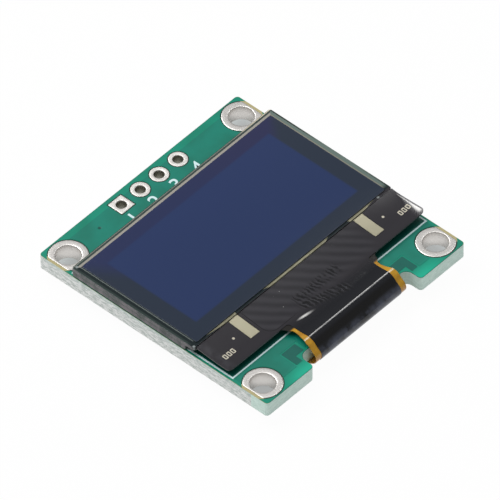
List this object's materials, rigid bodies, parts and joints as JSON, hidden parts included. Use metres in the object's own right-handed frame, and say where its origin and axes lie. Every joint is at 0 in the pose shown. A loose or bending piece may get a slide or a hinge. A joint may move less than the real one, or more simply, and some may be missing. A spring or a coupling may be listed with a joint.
{
  "type": "small oled module",
  "caption": "Small graphic display module: a sealed glass screen on a green circuit board, with a folded film tail, corner mounting holes and a row of pin holes.",
  "frame": {"origin": "middle of the board's outline, on the surface that the module rests on face up", "axes": "+X along the row of pin holes from the first pin, +Y from the film tail towards the pin holes, +Z out of the screen"},
  "size_m": [0.0266, 0.0276, 0.0039],
  "materials": {
    "active_layer": "dark blue pixel stack",
    "board_laminate": "glossy green solder mask over pale glass-fibre laminate",
    "capacitor_ceramic": "fired ceramic",
    "cell_seal": "cured adhesive",
    "chip_ends": "bright tin",
    "driver_die": "polished silicon",
    "foam_tape": "white foam tape",
    "front_glass": "polished glass with ground edges",
    "legs": "bright tin",
    "moulding": "matte black moulding compound",
    "polarizer": "smooth dark film",
    "rear_glass": "dark sealed glass",
    "resistor_ceramic": "black glaze",
    "solder": "smooth solder",
    "tail_cover": "satin black film",
    "tail_film": "glossy amber film",
    "tinned_copper": "bright tin, slightly uneven",
    "tinned_patch": "dull beige"
  },
  "bodies": {
    "root": {"mount_pad_1": "tinned_copper", "mount_pad_2": "tinned_copper", "mount_pad_3": "tinned_copper", "mount_pad_4": "tinned_copper", "pin_pad_1": "tinned_copper", "pin_pad_2": "tinned_copper", "pin_pad_3": "tinned_copper", "pin_pad_4": "tinned_copper", "active_layer": "active_layer", "bulk_capacitor_1_body": "capacitor_ceramic", "bulk_capacitor_1_ends": "chip_ends", "bulk_capacitor_2_body": "capacitor_ceramic", "bulk_capacitor_2_ends": "chip_ends", "capacitor_1_body": "capacitor_ceramic", "capacitor_1_ends": "chip_ends", "capacitor_2_body": "capacitor_ceramic", "capacitor_2_ends": "chip_ends", "capacitor_3_body": "capacitor_ceramic", "capacitor_3_ends": "chip_ends", "capacitor_4_body": "capacitor_ceramic", "capacitor_4_ends": "chip_ends", "capacitor_5_body": "capacitor_ceramic", "capacitor_5_ends": "chip_ends", "cell_seal": "cell_seal", "diode": "moulding", "diode_leg_1": "legs", "diode_leg_2": "legs", "driver_die": "driver_die", "foam_tape": "foam_tape", "front_glass": "front_glass", "polarizer": "polarizer", "printed_board": "board_laminate", "rear_glass": "rear_glass", "regulator": "moulding", "regulator_leg_1": "legs", "regulator_leg_2": "legs", "regulator_leg_3": "legs", "resistor_1_body": "resistor_ceramic", "resistor_1_ends": "chip_ends", "resistor_2_body": "resistor_ceramic", "resistor_2_ends": "chip_ends", "resistor_3_body": "resistor_ceramic", "resistor_3_ends": "chip_ends", "resistor_4_body": "resistor_ceramic", "resistor_4_ends": "chip_ends", "resistor_5_body": "resistor_ceramic", "resistor_5_ends": "chip_ends", "solder_lands": "solder", "tail_cover": "tail_cover", "tail_film": "tail_film", "tail_fingers": "solder", "tail_lands": "solder", "window_patch_left": "tinned_patch", "window_patch_right": "tinned_patch"}
  },
  "joints": []
}
